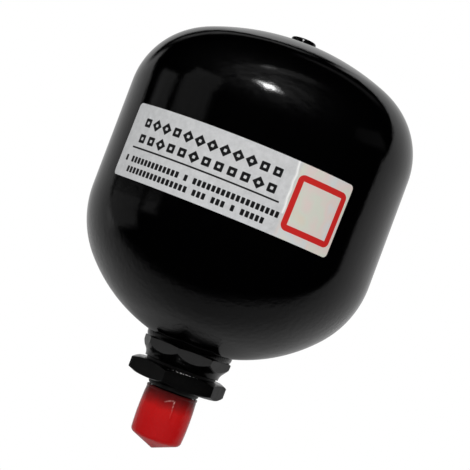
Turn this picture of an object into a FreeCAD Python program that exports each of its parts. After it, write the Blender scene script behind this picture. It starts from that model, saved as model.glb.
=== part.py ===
import FreeCAD, Part
import math
import os
import re
import Sketcher

# Welded diaphragm accumulator with a screwed port adapter.
# Millimetres, +Z up. The origin is on the axis, in the sealing face under the adapter's hexagon.
# The port points down, the gas plug is on top, and the label faces -Y.

doc = FreeCAD.newDocument("accumulator")

# Driving sizes

SIZES = [
    ("shell_radius", 52.5, "outside radius of both pressed shells"),
    ("shell_wall", 4.0, "wall of both shells"),
    ("weld_root", 0.5, "half width of the girth weld at its root"),
    ("weld_face", 2.5, "half width of the girth weld at its face"),
    ("recess_depth", 1.0, "depth of the recess for the clamp ring"),
    ("top_wall", 30.8, "cylinder from the girth weld to the upper dome"),
    ("top_depth_share", 0.634, "depth of the upper dome over the shell's radius"),
    ("top_knuckle_share", 0.85, "knuckle radius of the upper dome over its depth"),
    ("low_wall", 9.0, "cylinder from the girth weld to the lower dome"),
    ("low_depth_share", 0.8286, "depth of the lower dome over the shell's radius"),
    ("low_knuckle_share", 0.83, "knuckle radius of the lower dome over its depth"),
    ("pole_stand", 5.5, "from the lower dome's lowest point up to the seat"),
    ("spot_radius", 5.4, "spot face under the gas plug"),
    ("spot_depth", 0.35, "depth of the spot face below the crown"),
    ("ring_height", 8.0, "height of the diaphragm's clamp ring"),
    ("ring_wall", 3.0, "wall of the clamp ring"),
    ("ring_round", 0.8, "rounded inner edges of the clamp ring"),
    ("bead_height", 4.0, "height of the diaphragm's rim bead"),
    ("rubber_wall", 2.0, "wall of the diaphragm"),
    ("rubber_gap", 0.3, "gap between diaphragm and shell"),
    ("fit_gap", 0.05, "radial clearance of screwed and pushed fits"),
    ("button_radius", 11.0, "closing disc of the valve button"),
    ("button_disc", 2.0, "thickness of the closing disc"),
    ("button_bevel", 0.5, "bevel of the closing disc"),
    ("stem_radius", 4.0, "stem of the valve button"),
    ("button_head_radius", 6.5, "clinched head of the valve button"),
    ("button_head_height", 1.3, "height of the clinched head"),
    ("lap_width", 3.5, "width of the diaphragm's step over the button"),
    ("seat_height", 19.0, "seat of the valve button, inside"),
    ("seat_web", 1.8, "web between the seat and the boss's thread"),
    ("oil_radius", 5.0, "oil passage"),
    ("shoulder_gap", 0.15, "gap between the boss's shoulder and the shell at the spigot"),
    ("shoulder_drop", 1.0, "fall of the shoulder from the spigot to the rim"),
    ("boss_wall", 7.5, "from the boss's thread out to its turned rim"),
    ("shoulder_width", 4.5, "from the boss's rim in to its spigot in the lower shell"),
    ("flat_bite", 1.2, "how deep the boss's eight flats cut in"),
    ("belly_share", 0.63, "height where the boss's taper starts, over the boss's height"),
    ("flat_draft", 4.0, "draft of the flats in degrees"),
    ("boss_turn", 11.9, "turn of the boss's flats in degrees"),
    ("waist_step", 2.7, "how much narrower the boss's waist is"),
    ("waist_share", 0.526, "round between taper and waist, over the boss's height"),
    ("waist_slope", 37.0, "taper of the boss from the axis in degrees"),
    ("bead_step", 1.3, "from the boss's rim in to the weld's foot on the shoulder"),
    ("bead_overhang", 0.1, "from the boss's rim out to the weld's toe on the shell"),
    ("bead_swell", 6.0, "radius of the weld's rounded face"),
    ("thread_radius", 9.0, "thread M18 x 1.5 of port and boss"),
    ("thread_bevel", 0.5, "bevel at the mouth of the boss's thread"),
    ("hexagon_wall", 7.0, "from the thread out to the adapter's flats"),
    ("hexagon_height", 6.0, "height of the adapter's hexagon"),
    ("hexagon_bevel", 1.2, "height of the hexagon's corner bevel"),
    ("hexagon_land", 0.3, "how far that bevel cuts into the flats"),
    ("hexagon_turn", -14.7, "turn of the hexagon in degrees"),
    ("stub_end_gap", 1.2, "gap between the adapter's upper stub and the boss's web"),
    ("lower_stub", 14.0, "length of the adapter's port stub"),
    ("stub_bevel", 1.2, "bevel at the stubs' ends"),
    ("neck_depth", 1.5, "depth of the undercut under the hexagon, from the thread"),
    ("neck_length", 2.2, "length of the undercut"),
    ("relief_width", 1.2, "from the thread out to the sealing face under the hexagon"),
    ("relief_depth", 0.2, "depth of the relief inside that edge"),
    ("seal_thickness", 1.0, "seal ring between adapter and boss"),
    ("seal_width", 3.5, "width of that seal ring"),
    ("seal_bevel", 0.2, "bevel of that seal ring"),
    ("cord_radius", 0.95, "section of the port's seal ring"),
    ("cap_top", -2.2, "height of the cap's rim"),
    ("cap_rim_wall", 0.5, "wall of the cap at its rim"),
    ("cap_swell", 100.0, "radius of the cap's swollen side"),
    ("cap_foot_wall", 0.45, "wall of the cap above its corner"),
    ("cap_foot_height", -18.4, "height of the cap's corner"),
    ("cap_corner", 2.0, "rounding of the cap's corner"),
    ("cap_cone", 22.5, "slope of the cap's end in degrees"),
    ("cap_nose", 1.0, "rounding of the cap's tip"),
    ("cap_wall", 1.1, "wall of the cap's end"),
    ("plug_head_radius", 4.6, "head of the gas plug"),
    ("plug_head_height", 1.8, "height of the plug's head"),
    ("plug_head_round", 0.7, "rounding of the plug's head"),
    ("plug_shank_radius", 3.0, "thread M6 of the gas plug"),
    ("plug_length", 10.5, "length of the plug's shank"),
    ("plug_bevel", 0.6, "bevel at the plug's tip"),
    ("plug_socket", 4.0, "hexagon socket of the gas plug"),
    ("plug_socket_depth", 3.0, "depth of that socket"),
    ("plug_seal_height", 0.6, "seal washer under the plug's head"),
    ("plug_seal_radius", 4.3, "outside of that washer"),
    ("insert_radius", 7.5, "threaded insert inside the crown"),
    ("insert_length", 10.0, "length of the insert"),
    ("insert_weld", 2.0, "leg of the weld round the insert"),
    ("label_length", 87.5, "label, along the curve"),
    ("label_height", 25.8, "label, along the axis"),
    ("label_film", 0.12, "thickness of the label"),
    ("label_corner", 1.5, "rounding of the label's corners"),
    ("label_turn", -10.0, "label's middle, degrees from the front"),
    ("label_rise", 7.7, "label's middle above the girth weld"),
    ("label_skew", 1.6, "lean of the label in degrees"),
]

sheet = doc.addObject("Spreadsheet::Sheet", "Sizes")
for row, (alias, size, meaning) in enumerate(SIZES, start=1):
    sheet.set(f"A{row}", meaning)
    sheet.set(f"B{row}", str(size))
    sheet.setAlias(f"B{row}", alias)
doc.recompute()

ALIASES = {alias for alias, _, _ in SIZES}

BOSS_SIDES = 8
HEXAGON_SIDES = 6


def bound(formula):
    """the formula with every alias pointed at the sheet"""
    return re.sub(r"[a-z_]+", lambda m: "Sizes." + m[0] if m[0] in ALIASES else m[0], str(formula))


def value(formula):
    """what the formula gives with the sheet's sizes"""
    result = sheet.evalExpression(bound(formula))
    return float(getattr(result, "Value", result))


# Building helpers

def origin_feature(body, role):
    return next(part for part in body.Origin.OriginFeatures if part.Role == role)


def new_body(name):
    body = doc.addObject("PartDesign::Body", name)
    body.Label = name
    return body


def new_sketch(body, name, plane):
    sketch = body.newObject("Sketcher::SketchObject", name)
    sketch.AttachmentSupport = (origin_feature(body, plane), [""])
    sketch.MapMode = "FlatFace"
    return sketch


def draw_outline(sketch, corners):
    """a closed outline; a corner is (across, up) or (across, up, radius, centre across, centre up),
    where the last three bend the edge that leaves it into an arc"""
    starts = []
    for index, corner in enumerate(corners):
        follower = corners[(index + 1) % len(corners)]
        start = FreeCAD.Vector(value(corner[0]), value(corner[1]), 0)
        end = FreeCAD.Vector(value(follower[0]), value(follower[1]), 0)
        if len(corner) == 2:
            sketch.addGeometry(Part.LineSegment(start, end), False)
            starts.append(1)
            continue
        centre = FreeCAD.Vector(value(corner[3]), value(corner[4]), 0)
        circle = Part.Circle(centre, FreeCAD.Vector(0, 0, 1), value(corner[2]))
        first = math.atan2(start.y - centre.y, start.x - centre.x)
        last = math.atan2(end.y - centre.y, end.x - centre.x)
        sweep = (last - first) % math.tau
        if sweep < math.pi:
            sketch.addGeometry(Part.ArcOfCircle(circle, first, first + sweep), False)
            starts.append(1)
        else:
            sketch.addGeometry(Part.ArcOfCircle(circle, last, last + math.tau - sweep), False)
            starts.append(2)
    for index, start in enumerate(starts):
        follower = (index + 1) % len(starts)
        joint = Sketcher.Constraint("Coincident", index, 3 - start, follower, starts[follower])
        sketch.addConstraint(joint)
    for index, corner in enumerate(corners):
        tie(sketch, "DistanceX", corner[0], -1, 1, index, starts[index])
        tie(sketch, "DistanceY", corner[1], -1, 1, index, starts[index])
        if len(corner) > 2:
            tie(sketch, "Radius", corner[2], index)


def tie(sketch, kind, formula, *places):
    """a constraint whose size follows the formula; a point at zero lies on the sketch's axis"""
    size = value(formula)
    if kind != "Radius" and abs(size) < 1e-9:
        axis = -2 if kind == "DistanceX" else -1
        sketch.addConstraint(Sketcher.Constraint("PointOnObject", *places[2:], axis))
        return
    number = sketch.addConstraint(Sketcher.Constraint(kind, *places, size))
    sketch.setExpression(f"Constraints[{number}]", bound(formula))


def turned(name, corners):
    """a body turned about Z from an outline of (radius, height) corners"""
    body = new_body(name)
    sketch = new_sketch(body, name + "_outline", "XZ_Plane")
    draw_outline(sketch, corners)
    turning = body.newObject("PartDesign::Revolution", name + "_turning")
    turning.Profile = sketch
    turning.ReferenceAxis = (sketch, ["V_Axis"])
    turning.Angle = 360
    doc.recompute()
    return body


def cut_through(body, name, plane, corners, depth, reverse=False, middle=False):
    """a pocket of the given outline, with a check that it took material away"""
    before = body.Shape.Volume
    sketch = new_sketch(body, name + "_outline", plane)
    draw_outline(sketch, corners)
    pocket = body.newObject("PartDesign::Pocket", name)
    pocket.Profile = sketch
    pocket.Type = "Length"
    pocket.setExpression("Length", bound(depth))
    pocket.Reversed = reverse
    pocket.Midplane = middle
    doc.recompute()
    if not pocket.Shape.Volume < before - 1e-6:
        raise RuntimeError(f"{name} cuts nothing")
    return pocket


def repeat_round(body, feature, count):
    """the feature repeated round the axis"""
    pattern = body.newObject("PartDesign::PolarPattern", feature.Name + "_round")
    pattern.Originals = [feature]
    pattern.Axis = (origin_feature(body, "Z_Axis"), [""])
    pattern.Angle = 360
    pattern.Occurrences = count
    body.Tip = pattern
    doc.recompute()
    return pattern


def turn_body(body, degrees):
    """turns the finished body about the axis"""
    body.setExpression("Placement.Rotation.Angle", bound(degrees))
    body.Placement = FreeCAD.Placement(FreeCAD.Vector(), FreeCAD.Vector(0, 0, 1), value(degrees))


# Dome geometry, shared by everything that follows the shells

def dome(knuckle_height, depth, share, sign):
    """a knuckle that is a share of the depth, and the crown that meets it and the pole; + is upwards"""
    knuckle_radius = f"({share} * {depth})"
    crown_radius = (f"((shell_radius^2 + {depth}^2 - 2 * shell_radius * {knuckle_radius})"
                    f" / (2 * {depth} - 2 * {knuckle_radius}))")
    back = "-" if sign == "+" else "+"
    return {
        "centre": f"({knuckle_height} {back} ({crown_radius} - {depth}))",
        "across": f"(shell_radius - {knuckle_radius}) / ({crown_radius} - {knuckle_radius})",
        "along": f"({crown_radius} - {depth}) / ({crown_radius} - {knuckle_radius})",
        "sign": sign,
        "knuckle_height": knuckle_height,
        "knuckle_radius": knuckle_radius,
        "crown_radius": crown_radius,
    }


TOP_DEPTH = "(top_depth_share * shell_radius)"
LOW_DEPTH = "(low_depth_share * shell_radius)"
LOW_KNUCKLE_HEIGHT = f"(seat_height - pole_stand + {LOW_DEPTH})"
WELD_HEIGHT = f"({LOW_KNUCKLE_HEIGHT} + low_wall)"
TOP_KNUCKLE_HEIGHT = f"({WELD_HEIGHT} + top_wall)"
UPPER = dome(TOP_KNUCKLE_HEIGHT, TOP_DEPTH, "top_knuckle_share", "+")
LOWER = dome(LOW_KNUCKLE_HEIGHT, LOW_DEPTH, "low_knuckle_share", "-")


def crown_height(shape, inset, radius):
    """height of the crown's surface at a radius, for a surface that lies inset from the outside"""
    reach = f"({shape['crown_radius']} - ({inset}))"
    return f"({shape['centre']} {shape['sign']} sqrt({reach}^2 - ({radius})^2))"


def knuckle_arc(shape, inset):
    """the cylinder's end, where the knuckle starts, with the knuckle's arc"""
    return (
        f"shell_radius - ({inset})",
        shape["knuckle_height"],
        f"{shape['knuckle_radius']} - ({inset})",
        f"shell_radius - {shape['knuckle_radius']}",
        shape["knuckle_height"],
    )


def crown_arc(shape, inset):
    """the place where knuckle and crown meet, with the crown's arc towards the axis"""
    reach = f"({shape['crown_radius']} - ({inset}))"
    return (
        f"{reach} * {shape['across']}",
        f"{shape['centre']} {shape['sign']} {reach} * {shape['along']}",
        reach,
        "0",
        shape["centre"],
    )


def crown_to_knuckle(shape, inset, radius):
    """a place on the crown, with the crown's arc back to the knuckle"""
    reach = f"{shape['crown_radius']} - ({inset})"
    return (radius, crown_height(shape, inset, radius), reach, "0", shape["centre"])


def knuckle_to_wall(shape, inset):
    """where crown and knuckle meet, with the knuckle's arc back to the cylinder"""
    across, up, _, _, _ = crown_arc(shape, inset)
    _, _, radius, centre_across, centre_up = knuckle_arc(shape, inset)
    return (across, up, radius, centre_across, centre_up)


RECESS = "(shell_radius - shell_wall + recess_depth)"
LEDGE = f"({WELD_HEIGHT} - ring_height / 2 - bead_height)"
RING_TOP = f"({WELD_HEIGHT} + ring_height / 2)"
RING_FOOT = f"({WELD_HEIGHT} - ring_height / 2)"
PLUG_BORE = "(plug_shank_radius + fit_gap)"
BOSS_RADIUS = "(thread_radius + boss_wall)"
SPIGOT_RADIUS = f"({BOSS_RADIUS} - shoulder_width)"
PORT_HOLE = f"({SPIGOT_RADIUS} + fit_gap)"
SPOT_FACE = f"({crown_height(UPPER, '0', '0')} - spot_depth)"


# Shells and girth weld

def make_upper_shell():
    turned("upper_shell", [
        (RECESS, f"{WELD_HEIGHT} + weld_root"),
        ("shell_radius", f"{WELD_HEIGHT} + weld_face"),
        knuckle_arc(UPPER, "0"),
        crown_arc(UPPER, "0"),
        ("spot_radius", crown_height(UPPER, "0", "spot_radius")),
        ("spot_radius", SPOT_FACE),
        (PLUG_BORE, SPOT_FACE),
        crown_to_knuckle(UPPER, "shell_wall", PLUG_BORE),
        knuckle_to_wall(UPPER, "shell_wall"),
        ("shell_radius - shell_wall", TOP_KNUCKLE_HEIGHT),
        ("shell_radius - shell_wall", f"{RING_TOP} + fit_gap"),
        (RECESS, f"{RING_TOP} + fit_gap"),
    ])


def make_lower_shell():
    turned("lower_shell", [
        (RECESS, f"{WELD_HEIGHT} - weld_root"),
        ("shell_radius", f"{WELD_HEIGHT} - weld_face"),
        knuckle_arc(LOWER, "0"),
        crown_arc(LOWER, "0"),
        (PORT_HOLE, crown_height(LOWER, "0", PORT_HOLE)),
        crown_to_knuckle(LOWER, "shell_wall", PORT_HOLE),
        knuckle_to_wall(LOWER, "shell_wall"),
        ("shell_radius - shell_wall", LOW_KNUCKLE_HEIGHT),
        ("shell_radius - shell_wall", LEDGE),
        (RECESS, LEDGE),
    ])


def make_girth_weld():
    turned("girth_weld", [
        (RECESS, f"{WELD_HEIGHT} - weld_root"),
        ("shell_radius", f"{WELD_HEIGHT} - weld_face"),
        ("shell_radius", f"{WELD_HEIGHT} + weld_face"),
        (RECESS, f"{WELD_HEIGHT} + weld_root"),
    ])


# Diaphragm, its clamp ring and the valve button

def make_clamp_ring():
    inside = f"({RECESS} - fit_gap - ring_wall)"
    outside = f"{RECESS} - fit_gap"
    turned("clamp_ring", [
        (f"{inside} + ring_round", RING_FOOT),
        (outside, RING_FOOT),
        (outside, RING_TOP),
        (f"{inside} + ring_round", RING_TOP, "ring_round",
         f"{inside} + ring_round", f"{RING_TOP} - ring_round"),
        (inside, f"{RING_TOP} - ring_round"),
        (inside, f"{RING_FOOT} + ring_round", "ring_round",
         f"{inside} + ring_round", f"{RING_FOOT} + ring_round"),
    ])


BUTTON_TOP = "(seat_height + button_disc)"
RUBBER_TOP = "(seat_height + button_disc + rubber_wall)"


def make_diaphragm():
    under = "(shell_wall + rubber_gap)"
    over = "(shell_wall + rubber_gap + rubber_wall)"
    lap = "button_radius + lap_width"
    turned("diaphragm", [
        (f"shell_radius - {over}", RING_FOOT),
        (f"{RECESS} - fit_gap", RING_FOOT),
        (f"{RECESS} - fit_gap", LEDGE),
        (f"shell_radius - {under}", LEDGE),
        knuckle_arc(LOWER, under),
        crown_arc(LOWER, under),
        (lap, crown_height(LOWER, under, lap)),
        ("button_radius + button_bevel", BUTTON_TOP),
        ("stem_radius + rubber_gap", BUTTON_TOP),
        ("stem_radius + rubber_gap", RUBBER_TOP),
        ("button_radius", RUBBER_TOP),
        crown_to_knuckle(LOWER, over, "button_radius + lap_width - button_bevel"),
        knuckle_to_wall(LOWER, over),
        (f"shell_radius - {over}", LOW_KNUCKLE_HEIGHT),
    ])


def make_valve_button():
    head_top = f"{RUBBER_TOP} + button_head_height"
    turned("valve_button", [
        ("0", "seat_height"),
        ("button_radius - button_bevel", "seat_height"),
        ("button_radius", "seat_height + button_bevel"),
        ("button_radius", BUTTON_TOP),
        ("stem_radius", BUTTON_TOP),
        ("stem_radius", RUBBER_TOP),
        ("button_head_radius", RUBBER_TOP),
        ("button_head_radius", f"{head_top} - button_bevel"),
        ("button_head_radius - button_bevel", head_top),
        ("0", head_top),
    ])


# Port boss, welded into the lower shell

BOSS_FOOT = "(hexagon_height + seal_thickness)"
BOSS_SHOULDER = f"({crown_height(LOWER, '0', SPIGOT_RADIUS)} - shoulder_gap)"
BOSS_RIM = f"({BOSS_SHOULDER} - shoulder_drop)"
BOSS_BELLY = f"({BOSS_FOOT} + belly_share * ({BOSS_SHOULDER} - {BOSS_FOOT}))"
WAIST_RADIUS = f"({BOSS_RADIUS} - waist_step)"
WAIST_ROUND = f"(waist_share * ({BOSS_SHOULDER} - {BOSS_FOOT}))"


def shoulder_height(radius):
    """height of the boss's conical shoulder at a radius"""
    return f"({BOSS_SHOULDER} - (({radius}) - {SPIGOT_RADIUS}) * shoulder_drop / shoulder_width)"


def make_port_boss():
    """a turned collar with an inner thread, eight drafted flats and a waist towards the adapter"""
    body = turned("port_boss", [
        ("oil_radius", "seat_height"),
        (SPIGOT_RADIUS, "seat_height"),
        (SPIGOT_RADIUS, BOSS_SHOULDER),
        (BOSS_RADIUS, BOSS_RIM),
        (BOSS_RADIUS, BOSS_BELLY),
        (f"{WAIST_RADIUS} + {WAIST_ROUND} * (1 - cos(waist_slope))",
         f"{BOSS_FOOT} + {WAIST_ROUND} * sin(waist_slope)", WAIST_ROUND,
         f"{WAIST_RADIUS} + {WAIST_ROUND}", BOSS_FOOT),
        (WAIST_RADIUS, BOSS_FOOT),
        ("thread_radius + thread_bevel", BOSS_FOOT),
        ("thread_radius", f"{BOSS_FOOT} + thread_bevel"),
        ("thread_radius", "seat_height - seat_web"),
        ("oil_radius", "seat_height - seat_web"),
    ])
    flat_top = f"{BOSS_RADIUS} - flat_bite + shoulder_drop * tan(flat_draft)"
    flat_foot = f"{BOSS_RADIUS} - flat_bite - ({BOSS_RIM} - {BOSS_FOOT}) * tan(flat_draft)"
    flat = cut_through(body, "boss_flat", "XZ_Plane", [
        (flat_top, BOSS_SHOULDER),
        (flat_foot, BOSS_FOOT),
        (f"{BOSS_RADIUS} * 3", BOSS_FOOT),
        (f"{BOSS_RADIUS} * 3", BOSS_SHOULDER),
    ], f"{BOSS_RADIUS} * 2", middle=True)
    repeat_round(body, flat, BOSS_SIDES)
    turn_body(body, "boss_turn")


def swollen(start, end, radius):
    """start with an arc to end that swells to the left of the way from start to end"""
    across = f"(({end[0]}) - ({start[0]}))"
    up = f"(({end[1]}) - ({start[1]}))"
    chord = f"sqrt({across}^2 + {up}^2)"
    back = f"sqrt({radius}^2 - ({across}^2 + {up}^2) / 4)"
    return (
        start[0],
        start[1],
        radius,
        f"(({start[0]}) + ({end[0]})) / 2 + {up} / {chord} * {back}",
        f"(({start[1]}) + ({end[1]})) / 2 - {across} / {chord} * {back}",
    )


def make_boss_weld():
    reach = f"({BOSS_RADIUS} + bead_overhang)"
    narrow = f"({BOSS_RADIUS} - bead_step)"
    toe = (reach, crown_height(LOWER, "0", reach))
    foot = (narrow, shoulder_height(narrow))
    turned("boss_weld", [
        crown_to_knuckle(LOWER, "0", PORT_HOLE),
        swollen(toe, foot, "bead_swell"),
        foot,
        (PORT_HOLE, shoulder_height(PORT_HOLE)),
    ])


# Port adapter with its seals and the protective cap

STUB = "(thread_radius - fit_gap)"
NECK = "(thread_radius - neck_depth)"
HEXAGON_FLAT = "(thread_radius + hexagon_wall)"
HEXAGON_CORNER = f"({HEXAGON_FLAT} / cos(30))"
CAP_FOOT = "(thread_radius + cap_foot_wall)"


def make_port_adapter():
    bevel_start = f"({HEXAGON_FLAT} - hexagon_land)"
    relief = "thread_radius + relief_width"
    stub_top = "(seat_height - seat_web - stub_end_gap)"
    body = turned("port_adapter", [
        ("oil_radius", stub_top),
        (f"{STUB} - stub_bevel", stub_top),
        (STUB, f"{stub_top} - stub_bevel"),
        (STUB, "hexagon_height"),
        (bevel_start, "hexagon_height"),
        (HEXAGON_CORNER, "hexagon_height - hexagon_bevel"),
        (HEXAGON_CORNER, "hexagon_bevel"),
        (bevel_start, "0"),
        (relief, "0"),
        (relief, "relief_depth"),
        (NECK, "relief_depth"),
        (NECK, "-neck_length"),
        (STUB, "-neck_length - neck_depth / 2"),
        (STUB, "-lower_stub + stub_bevel"),
        (f"{STUB} - stub_bevel", "-lower_stub"),
        ("oil_radius", "-lower_stub"),
    ])
    flat = cut_through(body, "hexagon_flat", "XY_Plane", [
        (HEXAGON_FLAT, f"-{HEXAGON_CORNER}"),
        (f"{HEXAGON_FLAT} * 2", f"-{HEXAGON_CORNER}"),
        (f"{HEXAGON_FLAT} * 2", HEXAGON_CORNER),
        (HEXAGON_FLAT, HEXAGON_CORNER),
    ], "hexagon_height", reverse=True)
    repeat_round(body, flat, HEXAGON_SIDES)
    turn_body(body, "hexagon_turn")


def make_adapter_seal():
    """a bonded washer between the adapter's hexagon and the boss"""
    inside = "thread_radius + thread_bevel"
    outside = f"{inside} + seal_width"
    turned("adapter_seal", [
        (inside, "hexagon_height"),
        (f"{outside} - seal_bevel", "hexagon_height"),
        (outside, "hexagon_height + seal_bevel"),
        (outside, f"{BOSS_FOOT} - seal_bevel"),
        (f"{outside} - seal_bevel", BOSS_FOOT),
        (inside, BOSS_FOOT),
    ])


def make_port_seal_ring():
    """a round seal ring in the undercut, against the sealing face"""
    ring = doc.addObject("Part::Torus", "port_seal_ring")
    ring.Label = "port_seal_ring"
    ring.setExpression("Radius1", bound(f"{NECK} + fit_gap + cord_radius"))
    ring.setExpression("Radius2", bound("cord_radius"))
    ring.setExpression("Placement.Base.z", bound("-cord_radius - fit_gap"))
    doc.recompute()


def make_protective_cap():
    """a thin moulded cap, pushed over the port stub, with a swollen side and a conical end"""
    rim = ("thread_radius + cap_rim_wall", "cap_top")
    foot = (CAP_FOOT, "cap_foot_height")
    cone_across = f"({CAP_FOOT} - cap_corner * (1 - sin(cap_cone)))"
    cone_up = "(cap_foot_height - cap_corner * cos(cap_cone))"
    apex = f"({cone_up} - {cone_across} * tan(cap_cone))"
    nose_centre = f"({apex} + cap_nose / cos(cap_cone))"
    inner_apex = f"({apex} + cap_wall / cos(cap_cone))"
    turned("protective_cap", [
        ("thread_radius", "cap_top"),
        swollen(rim, foot, "cap_swell"),
        (foot[0], foot[1], "cap_corner", f"{CAP_FOOT} - cap_corner", "cap_foot_height"),
        (cone_across, cone_up),
        ("cap_nose * sin(cap_cone)", f"{nose_centre} - cap_nose * cos(cap_cone)", "cap_nose",
         "0", nose_centre),
        ("0", f"{nose_centre} - cap_nose"),
        ("0", inner_apex),
        ("thread_radius - cap_wall", f"{inner_apex} + (thread_radius - cap_wall) * tan(cap_cone)"),
        ("thread_radius", "cap_foot_height + cap_wall / 2"),
    ])


# Gas plug with its seal, and the insert that holds it

HEAD_FOOT = f"({SPOT_FACE} + plug_seal_height)"
HEAD_TOP = f"({SPOT_FACE} + plug_seal_height + plug_head_height)"


def make_gas_plug():
    tip = f"{HEAD_FOOT} - plug_length"
    body = turned("gas_plug", [
        ("0", tip),
        ("plug_shank_radius - plug_bevel", tip),
        ("plug_shank_radius", f"{tip} + plug_bevel"),
        ("plug_shank_radius", HEAD_FOOT),
        ("plug_head_radius", HEAD_FOOT),
        ("plug_head_radius", f"{HEAD_TOP} - plug_head_round", "plug_head_round",
         "plug_head_radius - plug_head_round", f"{HEAD_TOP} - plug_head_round"),
        ("plug_head_radius - plug_head_round", HEAD_TOP),
        ("0", HEAD_TOP),
    ])
    before = body.Shape.Volume
    sketch = new_sketch(body, "plug_socket_outline", "XY_Plane")
    sketch.setExpression("AttachmentOffset.Base.z", bound(HEAD_TOP))
    corner = "plug_socket / 2 / cos(30)"
    draw_outline(sketch, [
        (f"{corner} * cos({60 * side})", f"{corner} * sin({60 * side})") for side in range(6)
    ])
    socket = body.newObject("PartDesign::Pocket", "plug_socket")
    socket.Profile = sketch
    socket.Type = "Length"
    socket.setExpression("Length", bound("plug_socket_depth"))
    doc.recompute()
    if not socket.Shape.Volume < before - 1e-6:
        raise RuntimeError("the plug's socket cuts nothing")


def make_gas_plug_seal():
    turned("gas_plug_seal", [
        (PLUG_BORE, SPOT_FACE),
        ("plug_seal_radius", SPOT_FACE),
        ("plug_seal_radius", HEAD_FOOT),
        (PLUG_BORE, HEAD_FOOT),
    ])


INSERT_TOP = crown_height(UPPER, "shell_wall", "insert_radius")


def make_gas_insert():
    """a threaded insert whose end follows the inside of the crown"""
    turned("gas_insert", [
        crown_to_knuckle(UPPER, "shell_wall", PLUG_BORE),
        ("insert_radius", INSERT_TOP),
        ("insert_radius", f"{INSERT_TOP} - insert_length"),
        (PLUG_BORE, f"{INSERT_TOP} - insert_length"),
    ])


def make_insert_weld():
    reach = "(insert_radius + insert_weld)"
    turned("insert_weld", [
        crown_to_knuckle(UPPER, "shell_wall", "insert_radius"),
        (reach, crown_height(UPPER, "shell_wall", reach)),
        ("insert_radius", f"{INSERT_TOP} - insert_weld"),
    ])


# Label

def make_label():
    """a film wrapped on the cylinder: a thin ring, cut out by a rounded block that leans slightly"""
    radius = value("shell_radius")
    film = value("label_film")
    middle = value(f"{WELD_HEIGHT} + label_rise")
    half_width = radius * math.sin(value("label_length") / 2 / radius)
    half_height = value("label_height") / 2
    ring = Part.makeCylinder(radius + film, 4 * half_height, FreeCAD.Vector(0, 0, middle - 2 * half_height))
    ring = ring.cut(Part.makeCylinder(radius, 4 * half_height, FreeCAD.Vector(0, 0, middle - 2 * half_height)))
    block = Part.makeBox(2 * half_width, 2 * radius, 2 * half_height,
                         FreeCAD.Vector(-half_width, -2 * radius, -half_height))
    across = [edge for edge in block.Edges if abs(edge.tangentAt(0).y) > 0.5]
    block = block.makeFillet(value("label_corner"), across)
    block.rotate(FreeCAD.Vector(), FreeCAD.Vector(0, 1, 0), value("label_skew"))
    block.translate(FreeCAD.Vector(0, 0, middle))
    block.rotate(FreeCAD.Vector(), FreeCAD.Vector(0, 0, 1), value("label_turn"))
    label = doc.addObject("Part::Feature", "label")
    label.Label = "label"
    label.Shape = ring.common(block)
    label.Placement = FreeCAD.Placement()


# Output

MAKERS = {
    "upper_shell": make_upper_shell,
    "lower_shell": make_lower_shell,
    "girth_weld": make_girth_weld,
    "clamp_ring": make_clamp_ring,
    "diaphragm": make_diaphragm,
    "valve_button": make_valve_button,
    "port_boss": make_port_boss,
    "boss_weld": make_boss_weld,
    "port_adapter": make_port_adapter,
    "adapter_seal": make_adapter_seal,
    "port_seal_ring": make_port_seal_ring,
    "protective_cap": make_protective_cap,
    "gas_plug": make_gas_plug,
    "gas_plug_seal": make_gas_plug_seal,
    "gas_insert": make_gas_insert,
    "insert_weld": make_insert_weld,
    "label": make_label,
}

for make in MAKERS.values():
    make()
doc.recompute()

for thing in doc.Objects:
    if {"Invalid", "Error"} & set(thing.State):
        raise RuntimeError(f"{thing.Name} failed: {thing.State}")

os.makedirs("parts", exist_ok=True)
for node in MAKERS:
    found = doc.getObjectsByLabel(node)[0]
    if found.Shape.isNull() or not found.Shape.isValid():
        raise RuntimeError(f"{node} has no valid shape")
    found.Shape.exportStep(f"parts/{node}.step")
    print(node, "solids", len(found.Shape.Solids), "volume", round(found.Shape.Volume, 2))
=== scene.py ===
import math

import bmesh
import bpy
from mathutils import Matrix, Vector, noise


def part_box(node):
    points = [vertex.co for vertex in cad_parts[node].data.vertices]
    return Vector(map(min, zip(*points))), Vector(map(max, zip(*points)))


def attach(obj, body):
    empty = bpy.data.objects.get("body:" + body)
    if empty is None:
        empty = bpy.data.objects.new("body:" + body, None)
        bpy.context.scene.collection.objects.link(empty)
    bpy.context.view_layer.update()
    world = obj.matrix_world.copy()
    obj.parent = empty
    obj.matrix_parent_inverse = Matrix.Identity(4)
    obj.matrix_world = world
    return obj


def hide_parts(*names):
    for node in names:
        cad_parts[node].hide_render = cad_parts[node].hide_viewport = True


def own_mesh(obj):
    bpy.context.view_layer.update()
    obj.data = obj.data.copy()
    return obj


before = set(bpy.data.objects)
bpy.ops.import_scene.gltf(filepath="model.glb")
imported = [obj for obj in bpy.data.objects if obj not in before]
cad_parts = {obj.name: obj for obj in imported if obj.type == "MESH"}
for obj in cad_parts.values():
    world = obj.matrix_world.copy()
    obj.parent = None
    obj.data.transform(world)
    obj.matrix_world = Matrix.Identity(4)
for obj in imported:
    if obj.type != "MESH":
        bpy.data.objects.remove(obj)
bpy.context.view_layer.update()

# The frame is in metres, +Z up, with its origin in the sealing face under the hexagon.
# Sizes below are in millimetres and angles in degrees. Materials work in metres.

MM = 0.001
AROUND = 288
FINELY_AROUND = 480
FINE_STEP = 0.12


def size_of(node):
    """lowest and highest corner of a CAD node, in millimetres"""
    low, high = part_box(node)
    return low / MM, high / MM


def half_width(node):
    low, high = size_of(node)
    return (high.x - low.x) / 2


# Driving sizes, from the frame where it gives them

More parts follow.
